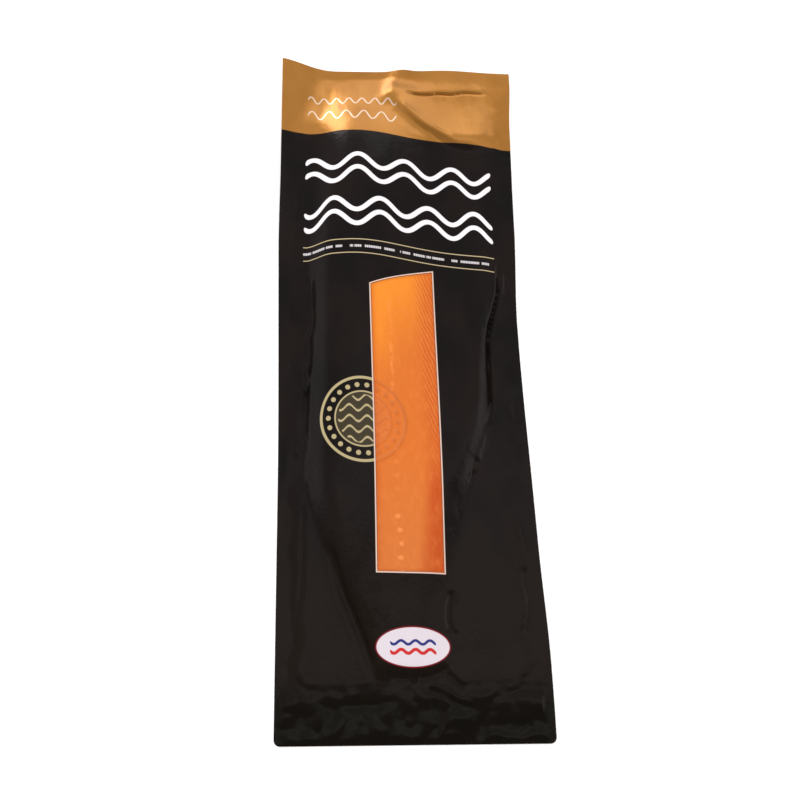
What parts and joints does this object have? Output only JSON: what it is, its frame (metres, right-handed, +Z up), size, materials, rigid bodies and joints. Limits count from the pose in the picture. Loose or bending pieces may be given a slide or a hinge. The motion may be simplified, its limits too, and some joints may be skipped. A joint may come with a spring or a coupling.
{
  "type": "vacuum pack of smoked salmon",
  "caption": "Long flat vacuum pouch in dark printed film with a gold header, holding a whole side of smoked salmon that shows through a clear window.",
  "frame": {"origin": "on the surface that the pack lies on, under the middle of its outline", "axes": "+X across the pack to the right of its print, +Y along it towards the gold header, +Z up out of the printed front"},
  "size_m": [0.2264, 0.6286, 0.0284],
  "materials": {
    "printed_film": "satin black printed film, with a gold header",
    "salmon_flesh": null,
    "clear_film": "clear glossy film drawn tight"
  },
  "bodies": {
    "root": {"pouch": "printed_film", "salmon": "salmon_flesh", "window_film": "clear_film"}
  },
  "joints": []
}
